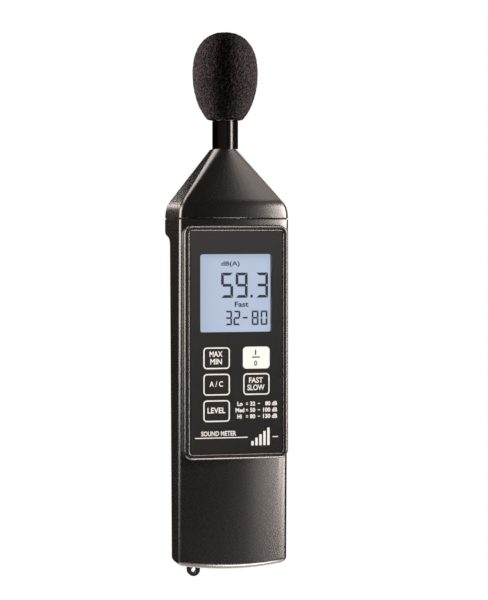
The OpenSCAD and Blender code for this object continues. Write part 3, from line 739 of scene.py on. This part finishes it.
def makeWindscreen():
    # a dense skin whose pores are real dents, with a smooth bore
    low, high = cad("windscreen")
    half = (high.x - low.x) / 2
    base, top = low.z, high.z
    bore, boreTop, (across, up) = foam["bore"], foam["boreTop"], foam["boreEdge"]
    mouth = foamRadius(base, top, half)
    outline = [(0.0, boreTop), (bore, boreTop), (bore, base + up), (bore + across, base)]
    outline.append((mouth - foam["roll"], base))
    for i in range(1, foam["rings"]):
        # steps along the side, bunched at the top where the egg closes
        z = base + (top - base) * math.sin(i / foam["rings"] * math.pi / 2) ** foam["bunch"]
        outline.append((min(foamRadius(z, top, half), mouth + (z - base) * foam["flare"]), z))
    outline.append((0.0, top))
    bm = lathe(outline, foam["steps"])
    bm.normal_update()
    for vert in bm.verts:
        r = math.hypot(vert.co.x, vert.co.y)
        if r < bore + 0.8 and vert.co.z < boreTop + 0.5:
            continue
        near = noise.voronoi(vert.co / foam["poreMm"])[0]
        dent = max(0.0, foam["poreReach"] - near[0]) * foam["poreDepth"]
        strut = max(0.0, foam["strutReach"] - (near[1] - near[0])) * foam["strutHeight"]
        rough = noise.noise(vert.co * 0.9) * 0.12 + noise.noise(vert.co * 2.4) * 0.08
        vert.co -= vert.normal * (dent - strut - rough + foam["sunk"])
    piece = makePiece(bm, "foamWindscreen", "windscreen", "foam", ("windscreen",), sharp=180, even=False)
    return piece


makeNeck()
makeWindscreen()
print("neck and windscreen made")


# what is printed on each key: (text, left and right, foot and head), in millimetres
keyLabels = {
    "max_min_key": [("MAX", (-13.5, -7.0), (-67.0, -64.3)), ("MIN", (-13.1, -7.3), (-70.7, -68.0))],
    "weighting_key": [("A / C", (-13.5, -6.8), (-81.6, -78.9))],
    "response_key": [("FAST", (6.2, 13.2), (-80.0, -77.3)), ("SLOW", (5.4, 14.0), (-83.6, -80.8))],
    "level_key": [("LEVEL", (-14.5, -5.6), (-94.5, -91.7))],
    "power_key": [("0", (8.75, 10.3), (-71.6, -69.1))],
}
powerMarks = {"powerOn": ((9.2, 9.85), (-66.3, -63.8)), "powerBar": ((7.7, 11.5), (-67.7, -67.1))}
keySize = {
    "radius": 1.85, "edge": 0.14, "gap": 0.2, "outlineRadius": 1.8, "innerRadius": 1.15, "weight": 0.018,
}
ink = {"thick": 0.03, "key": 0.6, "rule": 0.45}


def printedText(text, name, across, up, y, body, material, weight=0.03):
    # flat lettering that faces -Y, fitted between left and right and between foot and head
    curve = bpy.data.curves.new(name, "FONT")
    curve.body = text
    curve.offset = weight
    curve.resolution_u = 4
    letter = bpy.data.objects.new(name, curve)
    bpy.context.scene.collection.objects.link(letter)
    mesh = applied(letter)
    bpy.data.objects.remove(letter)
    bm = bmesh.new()
    bm.from_mesh(mesh)
    bpy.data.meshes.remove(mesh)
    bmesh.ops.remove_doubles(bm, verts=bm.verts, dist=1e-5)
    raised = bmesh.ops.extrude_face_region(bm, geom=list(bm.faces))["geom"]
    bmesh.ops.translate(bm, vec=(0, 0, 1), verts=[v for v in raised if isinstance(v, bmesh.types.BMVert)])
    low = Vector([min(v.co[i] for v in bm.verts) for i in range(3)])
    high = Vector([max(v.co[i] for v in bm.verts) for i in range(3)])
    bmesh.ops.translate(bm, vec=-low, verts=bm.verts)
    grow = ((across[1] - across[0]) / (high.x - low.x), (up[1] - up[0]) / (high.y - low.y), ink["thick"])
    bmesh.ops.scale(bm, vec=grow, verts=bm.verts)
    bmesh.ops.rotate(bm, matrix=Matrix.Rotation(math.pi / 2, 3, "X"), verts=bm.verts)
    bmesh.ops.translate(bm, vec=(across[0], y, up[0]), verts=bm.verts)
    bmesh.ops.recalc_face_normals(bm, faces=bm.faces)
    return finishPiece(linkMesh(bm, name), body, material, even=False)


def printedBar(name, across, up, y, body, material, radius=0.0):
    width, height = across[1] - across[0], up[1] - up[0]
    bm = slab(width, height, radius, -y + ink["thick"], ink["thick"] + 0.01, sum(across) / 2, sum(up) / 2, 4)
    return makePiece(bm, name, body, material, even=False)


def makeKey(node):
    low, high = cad(node)
    x, z = (low.x + high.x) / 2, (low.z + high.z) / 2
    width, height = high.x - low.x, high.z - low.z
    name = node.replace("_", "")
    power = node == "power_key"
    finish, slot, lettering = ("keyWhite", "power_key", "darkInk") if power else ("overlay", "overlay", "whiteInk")
    bm = slab(width, height, keySize["radius"], -low.y, high.y - low.y, x, z, 7, keySize["edge"], 2)
    makePiece(bm, name + "Cap", node, finish, (node,))
    for i, (text, across, up) in enumerate(keyLabels[node]):
        printedText(text, f"{name}Word{i}", across, up, low.y, node, lettering, keySize["weight"])
    if power:
        for mark, (across, up) in powerMarks.items():
            printedBar(mark, across, up, low.y, node, lettering)
        return
    width, height = width - keySize["gap"], height - keySize["gap"]
    outer = slab(width, height, keySize["outlineRadius"], -low.y + ink["thick"], ink["thick"] + 0.01, x, z, 8)
    outline = solid(outer, name + "Outline")
    width, height = width - 2 * ink["key"], height - 2 * ink["key"]
    inner = slab(width, height, keySize["innerRadius"], -low.y + 1, 2.0, x, z, 8)
    combine(outline, solid(inner), "DIFFERENCE")
    finishPiece(outline, node, "whiteInk", even=False)


for keyName in keyLabels:
    makeKey(keyName)
print("keys made")


def cadShape(node):
    # a CAD node's own shape, merged, in metres
    bm = bmesh.new()
    bm.from_mesh(frame["nodes"][node].data)
    bmesh.ops.remove_doubles(bm, verts=bm.verts, dist=2e-6)
    bmesh.ops.dissolve_limit(bm, angle_limit=math.radians(1.0), verts=bm.verts, edges=bm.edges)
    return bm


def softCopy(node, name, width, material):
    # a CAD node's own shape with its sharp edges rounded
    bm = cadShape(node)
    mesh = bpy.data.meshes.new(name)
    bm.to_mesh(mesh)
    bm.free()
    piece = bpy.data.objects.new(name, mesh)
    bpy.context.scene.collection.objects.link(piece)
    softenEdges(piece, width, 45)
    return finishPiece(piece, root, material, (node,), sharp=50)


softCopy("keypad_overlay", "keypadOverlay", 0.16, "overlay")
softCopy("display_window", "displayWindow", 0.12, "lens")
softCopy("display_frame", "displayFrame", 0.12, "frame")
softCopy("display_glass", "displayGlass", 0.12, "display")

# the display's digits: which of the seven strokes each one lights, clockwise from the top, then the middle
strokes = {"0": "abcdef", "2": "abged", "3": "abgcd", "5": "afgcd", "8": "abcdefg", "9": "abcfgd"}
# the two readings: digits with their middles, then height of the middle, width, height and stroke
readings = [
    ((("5", -3.4), ("9", 3.9), ("3", 14.2)), (-32.5, 6.0, 12.3, 1.35)),
    ((("3", -2.6), ("2", 1.5), ("8", 10.7), ("0", 15.2)), (-48.5, 3.4, 7.1, 0.85)),
]
displayMarks = {"displayPoint": ((8.35, 9.5), (-38.6, -37.2)), "displayDash": ((4.4, 6.9), (-48.8, -48.0))}
# text, left and right, foot and head, and how much the strokes are thickened
displayWords = {
    "displayUnit": ("dB(A)", (-6.4, 2.9), (-23.6, -20.8), 0.02),
    "displayMode": ("Fast", (0.4, 7.4), (-43.1, -40.5), 0.025),
}
glassFace = -cad("display_glass")[0].y


def digit(bm, sign, x, z, width, height, stroke):
    # one digit of seven strokes with mitred ends
    half, up = width / 2, height / 2
    gap = stroke * 0.1
    level = {"a": up - stroke / 2, "g": 0.0, "d": -up + stroke / 2}
    upright = {"f": (-half, 1), "b": (half, 1), "e": (-half, -1), "c": (half, -1)}
    for mark in strokes[sign]:
        across = mark in level
        if across:
            long, tall, cx, cz = width - 2 * gap, stroke, 0.0, level[mark]
        else:
            side, lift = upright[mark]
            long, tall = stroke, up - 2 * gap
            cx, cz = side - math.copysign(stroke / 2, side), lift * up / 2
        made = bmesh.ops.create_cube(bm, size=1.0)["verts"]
        bmesh.ops.scale(bm, vec=(long, ink["thick"], tall), verts=made)
        bmesh.ops.translate(bm, vec=(cx, 0, cz), verts=made)
        for vert in made:
            if across and (mark == "g" or abs(vert.co.z) < up - stroke / 2):
                vert.co.x -= math.copysign(stroke * (0.5 if mark == "g" else 1.0), vert.co.x)
            if not across and abs(vert.co.x) < half - stroke / 2:
                nearEnd = abs(vert.co.z) > up / 2
                vert.co.z -= math.copysign(stroke * (1.0 if nearEnd else 0.5), vert.co.z - cz)
        bmesh.ops.translate(bm, vec=(x, -glassFace - ink["thick"] / 2, z), verts=made)


def makeDigits():
    bm = bmesh.new()
    for signs, place in readings:
        for sign, x in signs:
            digit(bm, sign, x, *place)
    makePiece(bm, "displayDigits", root, "segment", even=False)
    for name, (across, up) in displayMarks.items():
        printedBar(name, across, up, -glassFace, root, "segment")
    for name, (text, across, up, weight) in displayWords.items():
        printedText(text, name, across, up, -glassFace, root, "segment", weight)


makeDigits()

panelFace = foil[0].y
# the table of ranges, in millimetres: where each word starts and ends
rangeRows = [
    (("Lo", (0.4, 3.1)), ("32", (6.8, 9.4)), ("80", (14.4, 17.0))),
    (("Med", (-0.5, 3.9)), ("50", (6.8, 9.4)), ("100", (13.3, 17.0))),
    (("Hi", (0.4, 2.6)), ("80", (6.8, 9.4)), ("130", (13.3, 17.0))),
]


rangeTable = {
    "foot": -91.15, "head": -89.05, "pitch": 3.1, "unit": (17.8, 20.4), "weight": 0.035,
    "equals": (4.7, 5.8), "equalsLift": 0.35, "equalsHalf": 0.16, "dash": (10.7, 11.8), "dashHalf": 0.2,
}
title = {"across": (-17.6, -0.2), "up": (-105.6, -103.2), "weight": 0.02}
rules = {"ruleLeft": (-20.7, 5.6), "ruleRight": (18.1, 20.9)}
ruleHeight = -106.5
# a plain level mark: five bars of growing height
levelMark = {"bars": 5, "left": 7.4, "pitch": 2.0, "width": 1.25, "foot": -110.6, "head": -108.4, "step": 1.6}


def panelBar(name, across, up, radius=0.0):
    printedBar(name, across, up, panelFace, root, "whiteInk", radius)


def makePrinting():
    for row, words in enumerate(rangeRows):
        drop = rangeTable["pitch"] * row
        up = (rangeTable["foot"] - drop, rangeTable["head"] - drop)
        middle = sum(up) / 2
        for text, across in words + (("dB", rangeTable["unit"]),):
            printedText(text, f"range{row}{text}", across, up, panelFace, root, "whiteInk", rangeTable["weight"])
        half = rangeTable["equalsHalf"]
        for side, lift in (("Low", -rangeTable["equalsLift"]), ("High", rangeTable["equalsLift"])):
            panelBar(f"range{row}Is{side}", rangeTable["equals"], (middle + lift - half, middle + lift + half))
        half = rangeTable["dashHalf"]
        panelBar(f"range{row}To", rangeTable["dash"], (middle - half, middle + half))
    printedText("SOUND METER", "panelTitle", title["across"], title["up"], panelFace, root, "whiteInk",
                title["weight"])
    for name, across in rules.items():
        panelBar(name, across, (ruleHeight - ink["rule"] / 2, ruleHeight + ink["rule"] / 2))
    for i in range(levelMark["bars"]):
        left = levelMark["left"] + levelMark["pitch"] * i
        up = (levelMark["foot"], levelMark["head"] + levelMark["step"] * i)
        panelBar(f"levelBar{i}", (left, left + levelMark["width"]), up, 0.3)


makePrinting()
print("display and printing made")

# the inner parts keep their CAD shape and are only given a material
finishes = {
    "microphone_grid": "blackened", "microphone_capsule": "steel", "capsule_sleeve": "rubber",
    "preamp_board": "board", "microphone_lead": "greyWire", "microphone_plug": "connector",
    "keypad_spacer": "film", "keypad_circuit": "film", "keypad_tail": "flex", "snap_domes": "steel",
    "zebra_strips": "zebra", "main_board": "board", "board_screws": "steel", "processor_chip": "chips",
    "amplifier_chips": "chips", "capacitors": "capacitor", "tail_connector": "connector",
    "trimmer_body": "trimmer", "trimmer_screw": "brass", "battery_terminals": "steel",
    "battery_snap": "chips", "red_lead": "redWire", "black_lead": "blackWire",
}
for node, finish in finishes.items():
    for place in frame["nodes"][node].material_slots:
        place.material = materials[finish]
for node, name, width, finish, slot in (
    ("tripod_insert", "tripodInsert", 0.3, "brass", "brass"), ("case_screws", "caseScrews", 0.1, "steel", "steel"),
    ("battery", "batteryBlock", 0.8, "battery", "battery"), ("rating_label", "ratingLabel", 0.05, "label", "label"),
):
    softCopy(node, name, width, finish)
print("inner parts finished")

# the pits are 1.2 mm apart, coarser than closed-cell foam, so that they show
pad = {"edge": 0.3, "cuts": 12, "puff": 0.05, "poreMm": 1.2, "broad": 10.0}


def makePad():
    # the foam strip under the battery: a dense block with soft rims and a pitted face
    bm = cadShape("battery_pad")
    toMillimetres(bm)
    bmesh.ops.bevel(bm, geom=list(bm.edges), offset=pad["edge"], offset_type="OFFSET", segments=3, profile=0.5,
                    affect="EDGES", material=-1)
    broad = [e for e in bm.edges if e.calc_length() > pad["broad"]]
    bmesh.ops.subdivide_edges(bm, edges=broad, cuts=pad["cuts"], use_grid_fill=True)
    bm.normal_update()
    for vert in bm.verts:
        vert.co -= vert.normal * pad["puff"] * (0.5 + 0.5 * noise.noise(vert.co / pad["poreMm"]))
    piece = makePiece(bm, "foamPad", "battery_cover", "pad", ("battery_pad",), sharp=180, even=False)


makePad()

# the pieces of the panel, which the strong lamps on the case would wash out
panelFinishes = [materials[name] for name in (
    "overlay", "whiteInk", "keyWhite", "darkInk", "segment", "display", "lens", "frame")]
foils = tuple(piece.name for piece in bpy.data.objects if piece.type == "MESH" and not piece.hide_render
              and piece.data.materials and piece.data.materials[0] in panelFinishes)
foamOnly = ("INCLUDE", "foamWindscreen")
notFoam = ("EXCLUDE", "foamWindscreen")
neckOnly = ("INCLUDE", "neckTube")
foilOnly = ("INCLUDE",) + foils
frontOnly = ("INCLUDE", "frontShell")
caseOnly = ("EXCLUDE", "neckTube", "foamWindscreen") + foils
lights = [
    # name, azimuth and elevation seen from the case, distance, width, height, radiance, and what it lights
    ("rightBox", 50, 8, 1.0, 0.3, 0.8, 44.0, caseOnly),
    ("lowRight", 31, -9, 1.0, 0.2, 0.3, 4.0, caseOnly),
    ("neckBox", 47, 10, 1.0, 0.27, 0.8, 18.0, neckOnly),
    ("neckFill", -40, 10, 1.0, 1.8, 0.8, 0.16, neckOnly),
    ("leftFront", -44, 12, 1.0, 0.05, 0.9, 0.8, caseOnly),
    ("leftBox", -84, 13, 0.9, 0.75, 0.7, 21.0, caseOnly),
    ("foamLeft", -112, 12, 0.9, 0.3, 0.5, 14.0, foamOnly),
    ("foamRight", 84, 12, 0.9, 0.35, 0.5, 12.0, foamOnly),
    ("top", 55, 58, 0.9, 0.35, 0.3, 5.0, notFoam),
    ("foilFill", 14, 18, 1.0, 0.3, 0.2, 14.0, foilOnly),
    ("printFill", -50, 20, 1.0, 0.6, 0.4, 25.0, foilOnly),
    ("topLeft", -112, 58, 0.9, 1.0, 0.3, 9.0, caseOnly),
    ("topRight", 112, 42, 0.9, 0.6, 0.3, 10.0, caseOnly),
    ("lowBox", 28, -58, 0.46, 0.25, 0.1, 45.0, caseOnly),
    ("backStrip", -168, 10.5, 1.0, 0.5, 0.025, 8.0, caseOnly),
    ("rimTop", 14, 38, 0.9, 0.5, 0.3, 22.0, frontOnly),
    ("backRight", 150, 25, 1.0, 0.8, 0.6, 5.0, caseOnly),
]
# colours of the lamps
plain, pale, warm = (1.0, 1.0, 1.0), (1.0, 0.95, 0.91), (1.0, 0.89, 0.83)


def addLights():
    seam = Vector((0, axisY, seamZ - 0.04))
    for name, azimuth, elevation, distance, width, height, radiance, flag in lights:
        a, e = math.radians(azimuth), math.radians(elevation)
        toward = Vector((math.sin(a) * math.cos(e), -math.cos(a) * math.cos(e), math.sin(e)))
        data = bpy.data.lights.new(name, "AREA")
        data.shape = "RECTANGLE"
        data.size = width
        data.size_y = height
        data.energy = radiance * math.pi * width * height
        data.color = plain if flag == foamOnly else pale if flag == foilOnly else warm
        lamp = bpy.data.objects.new(name, data)
        lamp.location = seam + toward * distance
        lamp.rotation_euler = (-toward).to_track_quat("-Z", "Y").to_euler()
        bpy.context.scene.collection.objects.link(lamp)
        group = bpy.data.collections.new(name + "Flag")
        for piece in flag[1:]:
            group.objects.link(bpy.data.objects[piece])
        lamp.light_linking.receiver_collection = group
        for member in group.collection_objects:
            member.light_linking.link_state = flag[0]


# fibres are drawn 3.3 mm apart, coarser than real paper, to stay clear of noise
floorSize = {"radius": 0.55, "drop": 0.35, "fibreMm": 10 / 3}


def addFloor():
    # a glowing sheet of white paper, well below the meter
    bm = bmesh.new()
    bmesh.ops.create_circle(bm, cap_ends=True, radius=floorSize["radius"], segments=64)
    mesh = bpy.data.meshes.new("floor")
    bm.to_mesh(mesh)
    bm.free()
    floor = bpy.data.objects.new("floor", mesh)
    floor.location = (0, 0, cadBox[0][2] - floorSize["drop"])
    bpy.context.scene.collection.objects.link(floor)
    paint, tree, shader = newMaterial("studioPaper")
    colour = tint(tree, "#FCFCFC", "#FFFFFF", grainNoise(tree, floorSize["fibreMm"]))
    tree.links.new(colour, shader.inputs["Base Color"])
    tree.links.new(colour, shader.inputs["Emission Color"])
    shader.inputs["Emission Strength"].default_value = 1.0
    shader.inputs["Roughness"].default_value = 0.9
    mesh.materials.append(paint)
    floor.visible_diffuse = False


def addWorld():
    # white to the eye, and a dim grey room in reflections and as fill
    world = bpy.data.worlds.new("studio")
    world.use_nodes = True
    tree = world.node_tree
    tree.nodes.clear()
    path = addNode(tree, "ShaderNodeLightPath")
    room = addNode(tree, "ShaderNodeBackground", {"Color": linear("#C9C6B4"), "Strength": 0.028})
    white = addNode(tree, "ShaderNodeBackground", {"Color": (1, 1, 1, 1), "Strength": 1.0})
    mixed = addNode(tree, "ShaderNodeMixShader", None,
                    {0: path.outputs["Is Camera Ray"], 1: room.outputs[0], 2: white.outputs[0]})
    addNode(tree, "ShaderNodeOutputWorld", None, {"Surface": mixed.outputs[0]})
    bpy.context.scene.world = world


addLights()
addFloor()
addWorld()
bpy.context.scene.view_settings.view_transform = "Standard"
print("light and floor made")
